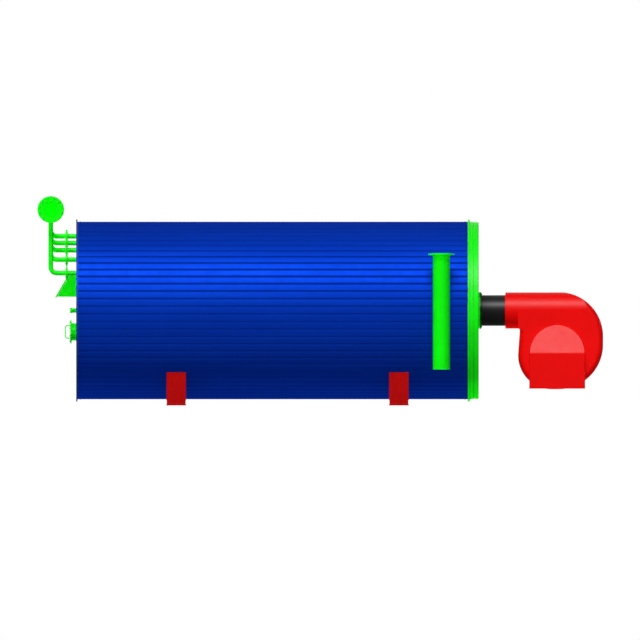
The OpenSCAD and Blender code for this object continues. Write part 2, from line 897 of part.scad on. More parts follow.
// Solid inside of the scroll's outer face, set in by a distance: flat sides with a rounded rim,
// square where the neck joins, and cut to a round top
module scroll_form(inset) {
    core = neck_r - scroll_rim;
    half = neck_r - inset;
    intersection() {
        translate([fan_x, 0, fan_z]) {
            translate([0, -core, 0]) extrude_y(2 * core) scroll_outline(inset);
            translate([0, -half, 0]) extrude_y(2 * half) scroll_outline(scroll_rim);
            translate([inset - scroll_back, -half, neck_low + inset])
                cube([2 * scroll_rim, 2 * half, scroll_top - scroll_rim - neck_low - inset]);
            for (side = [-1, 1])
                translate([0, side * core, 0]) scroll_edge(scroll_rim - inset);
        }
        translate([scroll_x - over, 0, axis_z])
            extrude_x(scroll_back + scroll_front + 2 * over)
                rounded_block(
                    -half, half, -fan_drop - scroll_depth - over, half,
                    [0, 0, half, half]
                );
    }
}

// Fan scroll: a sheet shell with an eye on the intake side and an opening to the neck
module fan_scroll() {
    color(burner_red)
        difference() {
            scroll_form(0);
            scroll_form(scroll_wall);
            translate([scroll_x - over, 0, axis_z]) along_x()
                cylinder(r = neck_r - scroll_wall, h = scroll_wall + 2 * over);
            translate([fan_x, -neck_r - over, fan_z]) along_y()
                cylinder(r = fan_eye_r, h = scroll_wall + 2 * over);
        }
}

// Solid inside of the hood's outer face, set in by a distance
module hood_form(inset) {
    lean = inset / cos(hood_tilt);
    intersection() {
        translate([fan_x, hood_back_y - hood_depth, hood_z])
            extrude_y(hood_depth)
                rounded_block(
                    -hood_r + inset, hood_r - inset, -hood_skirt - (inset > 0 ? over : 0), hood_r - inset,
                    [0, 0, hood_r - inset, hood_r - inset]
                );
        translate([fan_x - hood_r - over, hood_back_y, hood_z])
            extrude_x(2 * hood_r + 2 * over)
                polygon([
                    [-inset, hood_r],
                    [-hood_shoulder + lean, hood_r],
                    [-hood_depth + lean, 0],
                    [-hood_depth + lean, -hood_skirt - 2 * over],
                    [-inset, -hood_skirt - 2 * over]
                ]);
    }
}

// Air intake hood, open below, with a hole in its back over the fan's eye
module intake_hood() {
    color(burner_red)
        difference() {
            hood_form(0);
            hood_form(hood_wall);
            translate([fan_x, hood_back_y - hood_wall - over, fan_z]) along_y()
                cylinder(r = fan_eye_r, h = hood_wall + 2 * over);
        }
}

// Slotted plate that closes the hood's underside
module intake_grille() {
    plate_w = 2 * hood_r - 2 * hood_wall - 2 * fit;
    plate_d = hood_depth - hood_wall - hood_wall / cos(hood_tilt) - 2 * fit;
    pitch = grille_slot + grille_bar;
    count = floor((plate_w - 2 * grille_bar) / pitch);
    color(heat_black)
        translate([fan_x, hood_back_y - hood_wall - fit - plate_d / 2, hood_z - hood_skirt])
            difference() {
                translate([-plate_w / 2, -plate_d / 2, 0]) cube([plate_w, plate_d, grille_t]);
                for (i = [0 : count - 1])
                    translate([(i - (count - 1) / 2) * pitch, grille_bar - plate_d / 2, -over])
                        translate([-grille_slot / 2, 0, 0])
                            cube([grille_slot, plate_d - 2 * grille_bar, grille_t + 2 * over]);
            }
}

module motor_flange() {
    color(burner_red)
        translate([fan_x, neck_r, fan_z]) along_y() cylinder(d = motor_flange_d, h = motor_flange_t);
}

// Motor housing with cooling fins all round
module motor_body() {
    fin_r = motor_d / 2;
    core_r = fin_r - fin_depth;
    fin_turn = 360 / fin_count;
    color(heat_black)
        translate([fan_x, motor_y, fan_z]) along_y()
            linear_extrude(motor_len)
                polygon([
                    for (i = [0 : fin_count - 1])
                        for (step = [0 : 3])
                            let (
                                a = (i + fin_corners[step]) * fin_turn,
                                r = step < 2 ? core_r : fin_r
                            )
                                r * [cos(a), sin(a)]
                ]);
}

// Fan cowl on the motor's outer end
module motor_cowl() {
    color(heat_black)
        translate([fan_x, motor_y + motor_len, fan_z]) along_y() rotate_extrude()
            difference() {
                square([cowl_d / 2, cowl_len]);
                corner_cut([cowl_d / 2, cowl_len, -1, -1], cowl_round);
            }
}

// Terminal box on top of the motor, on a foot that reaches down between the fins
module terminal_box() {
    fin_r = motor_d / 2;
    color(heat_black)
        difference() {
            translate([fan_x - terminal_w / 2, terminal_y - terminal_len / 2, fan_z])
                cube([terminal_w, terminal_len, fin_r + terminal_h]);
            translate([fan_x, terminal_y - terminal_len, fan_z]) along_y()
                cylinder(r = fin_r + fit, h = 2 * terminal_len);
        }
}

casing_panel(90, roof_strips);  // casing_top
casing_panel(-90, roof_strips);  // casing_bottom
casing_panel(180, side_strips);  // casing_header_side
casing_panel(0, side_strips);  // casing_far_side
rear_end_plate();
front_ring();
door_frame();
burner_door();
burner_pad();
saddle(-saddle_spacing / 2);  // rear_saddle
saddle(saddle_spacing / 2);  // front_saddle
base_plate(-saddle_spacing / 2);  // rear_base_plate
base_plate(saddle_spacing / 2);  // front_base_plate
rear_header_pipe();
rear_header_flange();
rear_header_cap();
coil_risers();
coil_elbows();
coil_spools();
coil_gaskets();
coil_tails();
relief_duct();
relief_flap();
relief_hinge_pin();
sight_tube();
sight_cap();
sight_glass();
inspection_neck();
inspection_cover();
inspection_handle();
side_header_pipe();
side_header_flange();
side_header_end();
side_header_stubs();
burner_flange();
blast_tube();
burner_neck();
fan_scroll();
intake_hood();
intake_grille();
motor_flange();
motor_body();
motor_cowl();
terminal_box();
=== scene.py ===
# Looks of a horizontal coil boiler fired by a gas burner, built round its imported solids.
import json
import math

import bmesh
import bpy
from mathutils import Matrix, Vector


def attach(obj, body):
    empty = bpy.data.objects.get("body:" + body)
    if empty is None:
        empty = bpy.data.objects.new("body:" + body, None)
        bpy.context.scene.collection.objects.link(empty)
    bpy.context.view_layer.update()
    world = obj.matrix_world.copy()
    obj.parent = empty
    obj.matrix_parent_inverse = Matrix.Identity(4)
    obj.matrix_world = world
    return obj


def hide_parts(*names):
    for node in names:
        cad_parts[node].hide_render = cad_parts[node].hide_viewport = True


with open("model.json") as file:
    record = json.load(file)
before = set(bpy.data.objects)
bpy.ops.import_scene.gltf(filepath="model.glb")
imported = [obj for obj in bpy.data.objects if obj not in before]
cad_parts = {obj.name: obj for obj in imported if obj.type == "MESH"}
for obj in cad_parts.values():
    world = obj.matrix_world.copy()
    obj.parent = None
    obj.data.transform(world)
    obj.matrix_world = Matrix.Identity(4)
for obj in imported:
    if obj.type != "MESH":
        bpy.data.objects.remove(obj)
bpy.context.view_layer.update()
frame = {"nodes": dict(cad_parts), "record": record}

# Sizes that follow the part's source. All lengths below are millimetres, and pieces are
# scaled to metres when they are finished.
MM = 0.001
AXIS_Z = 1209.0
REAR_X, FRONT_X = -2674.5, 2295.5
REAR_FACE = -2690.5
CASING_R, CASING_IN_R = 1130.0, 1030.0
GROOVES, SIDE_STRIPS = 72, 19
ROOF_STRIPS = GROOVES // 2 - SIDE_STRIPS
FRAME_X, DOOR_GROOVE_X, DOOR_GROOVE = 2319.5, 2363.5, 11.0
TUBE_R, TUBE_RING_R = 30.15, 968.0
TUBE_ANGLES = (12.5, 27.5, 37.5, 48.0, 60.5)
ELBOW_R = 76.0
JOINT_X, GASKET_T, TUBE_FLANGE_T = -2810.5, 2.0, 11.0
HEADER_X, HEADER_Z, HEADER_R = -3013.5, 2494.0, 109.55
HEADER_FACE_Y, HEADER_CAP_Y, FLANGE_T = -1078.0, 953.0, 24.0
FLANGE_HOLES, FLANGE_PCD_R, RAISED_FACE = 12, 147.5, 3.0
SIDE_X, SIDE_Y = 1958.5, -1319.55
SIDE_TOP_Z, SIDE_BOTTOM_Z, SIDE_END_T = 1939.0, 457.0, 14.0
STUB_HEIGHTS = [582.0 + 135.0 * i for i in range(10)]
DUCT_W, DUCT_FLOOR_Z, DUCT_ROOF_Z = 300.0, 1384.0, 1655.0
MOUTH_X, MOUTH_SLOPE, FLAP_GAP = -2773.5, math.radians(30), 5.0
PIN_X, PIN_Z, PIN_R, PIN_HALF = -2773.758, 1680.553, 8.0, 111.0
SIGHT_R = 27.5
PORT_Z, PORT_R, COVER_X, COVER_T, PORT_FLANGE_T = 937.0, 109.55, -2757.5, 10.0, 9.0
HANDLE_R, HANDLE_HALF = 6.5, 79.5
SADDLE_XS, SADDLE_HALF, BEARING_R = (-1417.5, 1417.5), 823.14, 1144.3
SADDLE_PLATE_T, SADDLE_RIB_W, BASE_T = 14.0, 240.0, 16.0
BURNER_FLANGE_X, BURNER_FLANGE_T, BLAST_R = 2450.5, 16.0, 195.0
NECK_X, NECK_R = 2772.5, 230.0
SCROLL_X, FAN_X, FAN_Z, FAN_EYE_R = 2934.5, 3432.5, 740.0, 200.0
SCROLL_FRONT, SCROLL_BACK, SCROLL_DEPTH, SCROLL_TOP = 584.0, 498.0, 533.0, 702.0
SCROLL_UPPER_R, SCROLL_LOWER_R, SCROLL_HEEL_R = 560.0, 569.0, 427.0
HOOD_Z, HOOD_R, HOOD_SKIRT = 668.0, 355.0, 454.0
HOOD_DEPTH, HOOD_SHOULDER, HOOD_WALL = 190.0, 25.0, 5.0
MOTOR_Y, MOTOR_LEN, COWL_LEN = 250.0, 330.0, 92.0
TERMINAL_Y, TERMINAL_W, TERMINAL_LEN, TERMINAL_TOP = 415.0, 130.0, 150.0, 951.0

TUBE_PLACES = [
    (side * TUBE_RING_R * math.sin(math.radians(a)), AXIS_Z + TUBE_RING_R * math.cos(math.radians(a)))
    for side in (-1, 1) for a in TUBE_ANGLES
]


# Materials

def linear(hex_colour):
    """Turns an sRGB hex value into the linear colour that a shader takes."""
    channels = [int(hex_colour[i:i + 2], 16) / 255 for i in (1, 3, 5)]
    return [c / 12.92 if c <= 0.04045 else ((c + 0.055) / 1.055) ** 2.4 for c in channels] + [1.0]


def put(tree, kind, inputs=None, **settings):
    """Adds a node with its settings, and sets or links its inputs."""
    node = tree.nodes.new(kind)
    for name, value in settings.items():
        setattr(node, name, value)
    for name, value in (inputs or {}).items():
        if isinstance(value, bpy.types.NodeSocket):
            tree.links.new(value, node.inputs[name])
        else:
            node.inputs[name].default_value = value
    return node


def per_metre(size):
    """Scale of a pattern whose features are this many millimetres across."""
    return 1000.0 / size


def blank(name):
    """A new material and its emptied node tree."""
    material = bpy.data.materials.new(name)
    material.use_nodes = True
    tree = material.node_tree
    tree.nodes.clear()
    return material, tree


# Depths below the strips at which a groove's paint starts to be dull, and is dull all over
DULL_FROM, DULL_FULL = 0.6, 1.2


def in_groove(tree, place):
    """1 inside the casing's grooves and 0 on the strips between them, told by the distance from its axis."""
    shifted = put(tree, "ShaderNodeVectorMath", {
        0: place, 1: (0.0, 0.0, AXIS_Z * MM)}, operation="SUBTRACT").outputs["Vector"]
    across = put(tree, "ShaderNodeVectorMath", {
        0: shifted, 1: (0.0, 1.0, 1.0)}, operation="MULTIPLY").outputs["Vector"]
    radius = put(tree, "ShaderNodeVectorMath", {0: across}, operation="LENGTH").outputs["Value"]
    return put(tree, "ShaderNodeMapRange", {
        "Value": radius, "From Min": (CASING_R - DULL_FULL) * MM, "From Max": (CASING_R - DULL_FROM) * MM,
        "To Min": 1.0, "To Max": 0.0}).outputs["Result"]


def paint(name, colour, deep, roughness, gloss, flake=0.0, tint="#ffffff",
          cloud=400.0, stretch=(1.0, 1.0, 1.0), peel=22.0, peel_depth=0.12, dust=0.05):
    """Sprayed or rolled paint film.

    colour and deep are the two shades that the film drifts between, roughness is its span,
    gloss its specular level and tint the colour of that, flake its share of metal flake, which the rolls
    spoil in the casing's grooves, cloud and peel the sizes of drift and orange peel in millimetres,
    stretch the pull of the drift along an axis, and dust the most that settles on top.
    """
    material, tree = blank(name)
    place = put(tree, "ShaderNodeTexCoord").outputs["Object"]
    drawn = put(tree, "ShaderNodeMapping", {"Vector": place, "Scale": stretch}).outputs["Vector"]
    drift = put(tree, "ShaderNodeTexNoise", {
        "Vector": drawn, "Scale": per_metre(cloud), "Detail": 4.0, "Roughness": 0.55}).outputs["Fac"]
    shade = put(tree, "ShaderNodeMix", {
        "Factor": put(tree, "ShaderNodeMapRange", {
            "Value": drift, "From Min": 0.35, "From Max": 0.65}).outputs["Result"],
        "A": linear(deep), "B": linear(colour)}, data_type="RGBA").outputs["Result"]
    # Settled dust: only on faces that look up, broken into patches
    up = put(tree, "ShaderNodeSeparateXYZ", {
        "Vector": put(tree, "ShaderNodeNewGeometry").outputs["Normal"]}).outputs["Z"]
    patches = put(tree, "ShaderNodeTexNoise", {
        "Vector": place, "Scale": per_metre(90.0), "Detail": 5.0}).outputs["Fac"]
    settled = put(tree, "ShaderNodeMapRange", {
        "Value": up, "From Min": 0.8, "From Max": 1.0, "To Max": dust}).outputs["Result"]
    cover = put(tree, "ShaderNodeMath", {0: settled, 1: patches}, operation="MULTIPLY").outputs["Value"]
    dusted = put(tree, "ShaderNodeMix", {
        "Factor": cover, "A": shade, "B": linear("#b8b2a6")}, data_type="RGBA").outputs["Result"]
    # Orange peel is 2 to 4 mm in fact. It is drawn coarser so that it shows at this size.
    ripple = put(tree, "ShaderNodeTexNoise", {
        "Vector": place, "Scale": per_metre(peel), "Detail": 2.0}).outputs["Fac"]
    bump = put(tree, "ShaderNodeBump", {
        "Height": ripple, "Strength": peel_depth, "Distance": 0.001}).outputs["Normal"]
    film = put(tree, "ShaderNodeMapRange", {
        "Value": patches, "From Min": 0.3, "From Max": 0.7,
        "To Min": roughness[0], "To Max": roughness[1]}).outputs["Result"]
    shader = put(tree, "ShaderNodeBsdfPrincipled", {
        "Base Color": dusted, "Roughness": film, "Normal": bump,
        "Specular IOR Level": gloss, "Specular Tint": linear(tint)})
    if flake:
        gleam = put(tree, "ShaderNodeMapRange", {
            "Value": in_groove(tree, place), "To Min": flake, "To Max": 0.0}).outputs["Result"]
        tree.links.new(gleam, shader.inputs["Metallic"])
    put(tree, "ShaderNodeOutputMaterial", {"Surface": shader.outputs["BSDF"]})
    return material


def coil_coated_blue_sheet():
    # Steel sheet coated on a coil line with a metallic blue and then roll-formed lengthwise.
    # The flake gives a broad blue gleam along the upper strips. The rolls spoil it in the grooves, which stay
    # dull, and leave faint long streaks.
    return paint("coil_coated_blue_sheet", "#042a90", "#032688", (0.52, 0.58), 0.0, flake=0.18,
                 tint="#1024c8", cloud=160.0, stretch=(0.06, 1.0, 1.0), peel_depth=0.05, dust=0.01)


def sprayed_green_enamel():
    # Bright alkyd enamel sprayed over primed pipe and plate: full even colour with a soft gleam.
    return paint("sprayed_green_enamel", "#0ceb0c", "#0be00b", (0.42, 0.48), 0.034)


def sprayed_red_enamel():
    # Gloss enamel sprayed over pressed and welded sheet: a clear pale streak where the light strikes.
    return paint("sprayed_red_enamel", "#e30404", "#da0303", (0.42, 0.46), 0.037, cloud=500.0)


def brushed_saddle_paint():
    # Dark red anticorrosive paint put on with a brush: flat, with upright brush marks. Real marks are
    # about 2 mm wide, and these are drawn at 30 mm so that they show.
    return paint("brushed_saddle_paint", "#ac0202", "#a20101", (0.5, 0.62), 0.02,
                 cloud=30.0, stretch=(1.0, 1.0, 0.12), peel_depth=0.2)


def heat_resistant_black_paint():
    # Silicone paint on hot steel: near black and satin, with a grey sheen along the round.
    return paint("heat_resistant_black_paint", "#141315", "#111012", (0.42, 0.46), 0.06, peel_depth=0.1)


def compressed_fibre_gasket():
    # Pressed sheet of fibre and graphite: dull dark grey with a fleck of fibre about 3 mm long.
    material, tree = blank("compressed_fibre_gasket")
    place = put(tree, "ShaderNodeTexCoord").outputs["Object"]
    fleck = put(tree, "ShaderNodeTexNoise", {
        "Vector": place, "Scale": per_metre(3.0), "Detail": 3.0}).outputs["Fac"]
    shade = put(tree, "ShaderNodeMix", {
        "Factor": fleck, "A": linear("#161615"), "B": linear("#2c2b29")}, data_type="RGBA").outputs["Result"]
    shader = put(tree, "ShaderNodeBsdfPrincipled", {"Base Color": shade, "Roughness": 0.85})
    put(tree, "ShaderNodeOutputMaterial", {"Surface": shader.outputs["BSDF"]})
    return material


def braided_glass_rope():
    # Rope braided from white glass yarn: slanting rounded strands, dusty white.
    material, tree = blank("braided_glass_rope")
    place = put(tree, "ShaderNodeTexCoord").outputs["Object"]
    # Strands are about 4 mm wide in fact, and are drawn at 8.7 mm so that they show. A diagonal wave of
    # scale 1 has its crests about 362.5 mm apart.
    yarn = put(tree, "ShaderNodeTexWave", {
        "Vector": place, "Scale": 362.5 / 8.7, "Distortion": 1.5},
        bands_direction="DIAGONAL").outputs["Fac"]
    shade = put(tree, "ShaderNodeMix", {
        "Factor": yarn, "A": linear("#8e8b82"), "B": linear("#d6d3c8")}, data_type="RGBA").outputs["Result"]
    bump = put(tree, "ShaderNodeBump", {"Height": yarn, "Strength": 0.6, "Distance": 0.001}).outputs["Normal"]
    shader = put(tree, "ShaderNodeBsdfPrincipled", {"Base Color": shade, "Roughness": 0.9, "Normal": bump})
    put(tree, "ShaderNodeOutputMaterial", {"Surface": shader.outputs["BSDF"]})
    return material


def toughened_sight_glass():
    # Pressed borosilicate disc: clear, with a faint green cast and a film of soot.
    material, tree = blank("toughened_sight_glass")
    place = put(tree, "ShaderNodeTexCoord").outputs["Object"]
    soot = put(tree, "ShaderNodeTexNoise", {
        "Vector": place, "Scale": per_metre(12.0), "Detail": 4.0}).outputs["Fac"]
    film = put(tree, "ShaderNodeMapRange", {"Value": soot, "To Min": 0.02, "To Max": 0.2}).outputs["Result"]
    shader = put(tree, "ShaderNodeBsdfPrincipled", {
        "Base Color": linear("#cfe6d8"), "Roughness": film, "IOR": 1.47, "Transmission Weight": 1.0})
    put(tree, "ShaderNodeOutputMaterial", {"Surface": shader.outputs["BSDF"]})
    return material


def zinc_plated_steel():
    # Turned bar with bright zinc plating: pale grey metal with fine rings from the lathe.
    material, tree = blank("zinc_plated_steel")
    place = put(tree, "ShaderNodeTexCoord").outputs["Object"]
    drawn = put(tree, "ShaderNodeMapping", {"Vector": place, "Scale": (0.1, 1.0, 0.1)}).outputs["Vector"]
    rings = put(tree, "ShaderNodeTexNoise", {
        "Vector": drawn, "Scale": per_metre(2.0), "Detail": 3.0}).outputs["Fac"]
    shade = put(tree, "ShaderNodeMix", {
        "Factor": rings, "A": linear("#a9acab"), "B": linear("#c9cccb")}, data_type="RGBA").outputs["Result"]
    film = put(tree, "ShaderNodeMapRange", {"Value": rings, "To Min": 0.28, "To Max": 0.48}).outputs["Result"]
    shader = put(tree, "ShaderNodeBsdfPrincipled", {"Base Color": shade, "Roughness": film, "Metallic": 1.0})
    put(tree, "ShaderNodeOutputMaterial", {"Surface": shader.outputs["BSDF"]})
    return material


FINISH = {
    "blue_sheet": coil_coated_blue_sheet(),
    "green_enamel": sprayed_green_enamel(),
    "red_enamel": sprayed_red_enamel(),
    "saddle_paint": brushed_saddle_paint(),
    "black_heat_paint": heat_resistant_black_paint(),
    "gasket_sheet": compressed_fibre_gasket(),
    "sight_glass": toughened_sight_glass(),
    "zinc_steel": zinc_plated_steel(),
}
GLASS_ROPE = braided_glass_rope()

# Every solid of the part takes the finish of its slot
for row in frame["record"]["subparts"]:
    mesh = frame["nodes"][row["node"]].data
    mesh.materials.clear()
    mesh.materials.append(FINISH[row["material_slot"]])


# Making of meshes

def skin(bm, loops, wrap=False):
    """Joins loops of points into a closed skin: wrap joins the last to the first, or else both are capped."""
    rows = [[bm.verts.new(point) for point in loop] for loop in loops]
    for first, second in zip(rows, rows[1:] + rows[:1] if wrap else rows[1:]):
        for i in range(len(first)):
            j = (i + 1) % len(first)
            bm.faces.new((first[i], first[j], second[j], second[i]))
    if not wrap:
        bm.faces.new(rows[0][::-1])
        bm.faces.new(rows[-1])


def rounded(corners, steps=5):
    """Closed outline through corners of (x, y, radius), each rounded by its radius."""
    points = []
    for i, (x, y, radius) in enumerate(corners):
        corner = Vector((x, y))
        if radius <= 0:
            points.append(corner)
            continue
        back = (Vector(corners[i - 1][:2]) - corner).normalized()
        ahead = (Vector(corners[(i + 1) % len(corners)][:2]) - corner).normalized()
        half = back.angle(ahead) / 2
        centre = corner + (back + ahead).normalized() * radius / math.sin(half)
        start = corner + back * radius / math.tan(half) - centre
        turn = math.pi - 2 * half
        if back.cross(ahead) > 0:
            turn = -turn
        points += [centre + Matrix.Rotation(turn * k / steps, 2) @ start for k in range(steps + 1)]
    return points


def facing(origin, axis):
    """Place whose origin and Z axis are as given."""
    return Matrix.Translation(origin) @ Vector(axis).to_track_quat("Z", "Y").to_matrix().to_4x4()


def lifted(place, height):
    """Place moved along its own Z axis."""
    return place @ Matrix.Translation((0, 0, height))


def circle(place, radius, count):
    """Points round the Z axis of a place."""
    angles = [2 * math.pi * k / count for k in range(count)]
    return [place @ Vector((radius * math.cos(a), radius * math.sin(a), 0)) for a in angles]


def lathe(bm, outline, place, steps=24):
    """Turns an outline of (radius, height) corners about the Z axis of a place."""
    turns = [2 * math.pi * k / steps for k in range(steps)]
    skin(bm, [
        [place @ Vector((r * math.cos(a), r * math.sin(a), h)) for r, h in outline] for a in turns
    ], wrap=True)


# Weld ripples are 2 to 3 mm apart in fact, and are drawn at 9 mm so that they show
RIPPLE = 9.0
# A bead has eight sides, and each ripple has a low ring and two high ones
BEAD_TURNS = [math.pi * s / 4 for s in range(8)]
RIPPLE_RINGS, RIPPLE_LOW = 3, 0.82


def bead(bm, path, size, out=None, closed=True):
    """Lays a rippled weld bead along points. out is the side that its section starts on."""
    middle = sum(path, Vector()) / len(path)
    loops = []
    for k, point in enumerate(path):
        ahead = path[(k + 1) % len(path)] if closed else path[min(k + 1, len(path) - 1)]
        behind = path[k - 1] if closed or k else point
        along = (ahead - behind).normalized()
        side = Vector(out) if out else point - middle
        side = (side - along * side.dot(along)).normalized()
        up = along.cross(side)
        swell = size * (1.0 if k % RIPPLE_RINGS else RIPPLE_LOW)
        loops.append([point + swell * (side * math.cos(a) + up * math.sin(a)) for a in BEAD_TURNS])
    skin(bm, loops, wrap=closed)


def ring_bead(bm, place, radius, size):
    """Weld bead round a pipe."""
    count = RIPPLE_RINGS * max(8, round(2 * math.pi * radius / RIPPLE))
    bead(bm, circle(place, radius, count), size)


def line_bead(bm, start, end, size, out):
    """Straight weld bead."""
    start, end = Vector(start), Vector(end)
    count = RIPPLE_RINGS * max(4, round((end - start).length / RIPPLE))
    bead(bm, [start.lerp(end, k / count) for k in range(count + 1)], size, out, closed=False)


def saddle_bead(bm, centre, out, across, header_axis, size):
    """Weld bead where a tube runs square into a header: out points from the header's axis along the tube."""
    out, across, axis = Vector(out), Vector(across), Vector(header_axis)
    count = RIPPLE_RINGS * round(2 * math.pi * TUBE_R / RIPPLE)
    path = []
    for k in range(count):
        a = 2 * math.pi * k / count
        wide = TUBE_R * math.cos(a)
        path.append(
            Vector(centre) + across * wide + axis * TUBE_R * math.sin(a)
            + out * math.sqrt(HEADER_R ** 2 - wide ** 2)
        )
    bead(bm, path, size)


def hex_head(bm, place, flats, height):
    """Six-sided head or nut with a chamfered top, standing on Z."""
    corner = flats / math.sqrt(3)
    levels = ((0.0, corner), (height * 0.82, corner), (height, corner * 0.86))
    skin(bm, [circle(lifted(place, h), radius, 6) for h, radius in levels])


# Washers, heads, nuts and threads are shares of the bolt's diameter, about as in the standards' tables

def washer(bm, place, size):
    """Plain washer for a bolt of this diameter, standing on Z. It returns the place on top of it."""
    thick = 0.17 * size
    lathe(bm, [(0.53 * size, 0), (1.0 * size, 0), (1.0 * size, thick * 0.7), (0.95 * size, thick),
               (0.53 * size, thick)], place, steps=20)
    return lifted(place, thick)


def bolt_head(bm, place, size):
    """Hexagon bolt head on a washer."""
    hex_head(bm, washer(bm, place, size), 1.5 * size, 0.64 * size)


def threaded_rod(bm, place, size, length):
    """Threaded end of a stud, standing on Z. The thread is drawn as rings."""
    pitch = 0.125 * size
    outline = [(0.0, 0.0)]
    for k in range(round(length / pitch)):
        outline += [(0.43 * size, k * pitch), (0.5 * size, (k + 0.5) * pitch)]
    outline += [(0.42 * size, length), (0.0, length)]
    lathe(bm, outline, place, steps=16)


def stud_nut(bm, place, size):
    """Nut on a washer with the threaded end of the stud standing out of it."""
    top = washer(bm, place, size)
    hex_head(bm, top, 1.5 * size, 0.8 * size)
    threaded_rod(bm, lifted(top, 0.75 * size), size, 0.5 * size)


def finish_piece(bm, name, slot, material=None, body="boiler", instead_of=(), crease=35.0):
    """Turns millimetres to metres, and makes the piece with its finish on its body."""
    bmesh.ops.remove_doubles(bm, verts=bm.verts, dist=0.002)
    bmesh.ops.recalc_face_normals(bm, faces=bm.faces)
    bmesh.ops.scale(bm, vec=(MM, MM, MM), verts=bm.verts)
    mesh = bpy.data.meshes.new(name)
    bm.to_mesh(mesh)
    bm.free()
    mesh.shade_smooth()
    mesh.set_sharp_from_angle(angle=math.radians(crease))
    mesh.materials.append(material or FINISH[slot])
    piece = bpy.data.objects.new(name, mesh)
    bpy.context.scene.collection.objects.link(piece)
    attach(piece, body)
    if instead_of:
        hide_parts(*instead_of)
    return piece


# Grooved casing

PITCH = 360 / GROOVES
# The solids have narrow square slots. Rolled sheet bends softly, so a groove is wider here and not so deep.
GROOVE_HALF, GROOVE_DEPTH, BEND_STEPS, INSIDE_STEPS = 20.0, 4.0, 8, 30
FLAT_HALF = math.pi * CASING_R / GROOVES - GROOVE_HALF


def casing_outline(angle, strips):
    """Section of a casing panel: strips with rolled grooves between them, and the lagged wall's inside."""
    half = strips * PITCH / 2
    # Radius, and degrees from the middle of a groove, up its soft bend to the edge of a strip
    rise = []
    for k in range(BEND_STEPS + 1):
        deep = GROOVE_DEPTH * (1 + math.cos(math.pi * k / BEND_STEPS)) / 2
        rise.append((CASING_R - deep, math.degrees(GROOVE_HALF * k / BEND_STEPS / CASING_R)))
    points = []
    for strip in range(strips):
        first = -half + strip * PITCH
        points += [(r, first + off) for r, off in rise]
        points += [(r, first + PITCH - off) for r, off in rise[::-1]]
    points += [(CASING_IN_R, half * (1 - 2 * k / INSIDE_STEPS)) for k in range(INSIDE_STEPS + 1)]
    turned = [(r, math.radians(a + angle)) for r, a in points]
    return [(r * math.cos(a), AXIS_Z + r * math.sin(a)) for r, a in turned]


casing_sheets = []
for node, angle, strips in (("casing_top", 90, ROOF_STRIPS), ("casing_bottom", -90, ROOF_STRIPS),
                            ("casing_header_side", 180, SIDE_STRIPS), ("casing_far_side", 0, SIDE_STRIPS)):
    sheet = bmesh.new()
    outline = casing_outline(angle, strips)
    skin(sheet, [[(x, y, z) for y, z in outline] for x in (REAR_X, FRONT_X)])
    casing_sheets.append(finish_piece(sheet, node + "_sheet", "blue_sheet", instead_of=(node,), crease=30))


def on_strip(x, degrees, across=0.0):
    """Place on the flat of the strip that is centred on an angle, looking out."""
    a = math.radians(degrees)
    out, side = Vector((0, math.cos(a), math.sin(a))), Vector((0, -math.sin(a), math.cos(a)))
    flat = CASING_R * math.cos(FLAT_HALF / CASING_R)
    return facing(Vector((x, 0, AXIS_Z)) + out * flat + side * across, out)


# Screws that hold the sheet: on the top and bottom panels along each seam, and on every second strip at
# both ends
SCREW, SCREW_FROM_EDGE, SCREW_FROM_END = 6.0, 24.0, 35.0
SCREW_STEP, SEAM_SCREWS = 350.0, 15
screws = bmesh.new()
seam = SIDE_STRIPS * PITCH / 2
for mirrored in (-1, 1):
    for degrees, towards in ((seam + PITCH / 2, -1), (-seam - PITCH / 2, 1)):
        across = towards * (FLAT_HALF - SCREW_FROM_EDGE)
        strip = degrees if mirrored > 0 else 180 - degrees
        for k in range(SEAM_SCREWS):
            x = REAR_X + SCREW_FROM_END + SCREW_STEP * k
            bolt_head(screws, on_strip(x, strip, mirrored * across), SCREW)
for k in range(0, GROOVES, 2):
    for x in (REAR_X + SCREW_FROM_END, FRONT_X - SCREW_FROM_END):
        bolt_head(screws, on_strip(x, k * PITCH), SCREW)
finish_piece(screws, "casing_screws", "blue_sheet")

# Sleeves where the upright header's stubs go through the casing
SLEEVE_R, SLEEVE_IN_R, SLEEVE_LEN, SLEEVE_PROUD = 44.0, TUBE_R + 0.5, 95.0, 12.0
sleeves = bmesh.new()
for z in STUB_HEIGHTS:
    nearest = max(0.0, abs(z - AXIS_Z) - SLEEVE_R)
    face_y = -math.sqrt(CASING_R ** 2 - nearest ** 2) - SLEEVE_PROUD
    outline = rounded([
        (SLEEVE_IN_R, 0, 2), (SLEEVE_R, 0, 4), (SLEEVE_R, SLEEVE_LEN, 0), (SLEEVE_IN_R, SLEEVE_LEN, 0)
    ], steps=3)
    lathe(sleeves, outline, facing((SIDE_X, face_y, z), (0, 1, 0)), steps=40)
finish_piece(sleeves, "stub_sleeves", "blue_sheet")

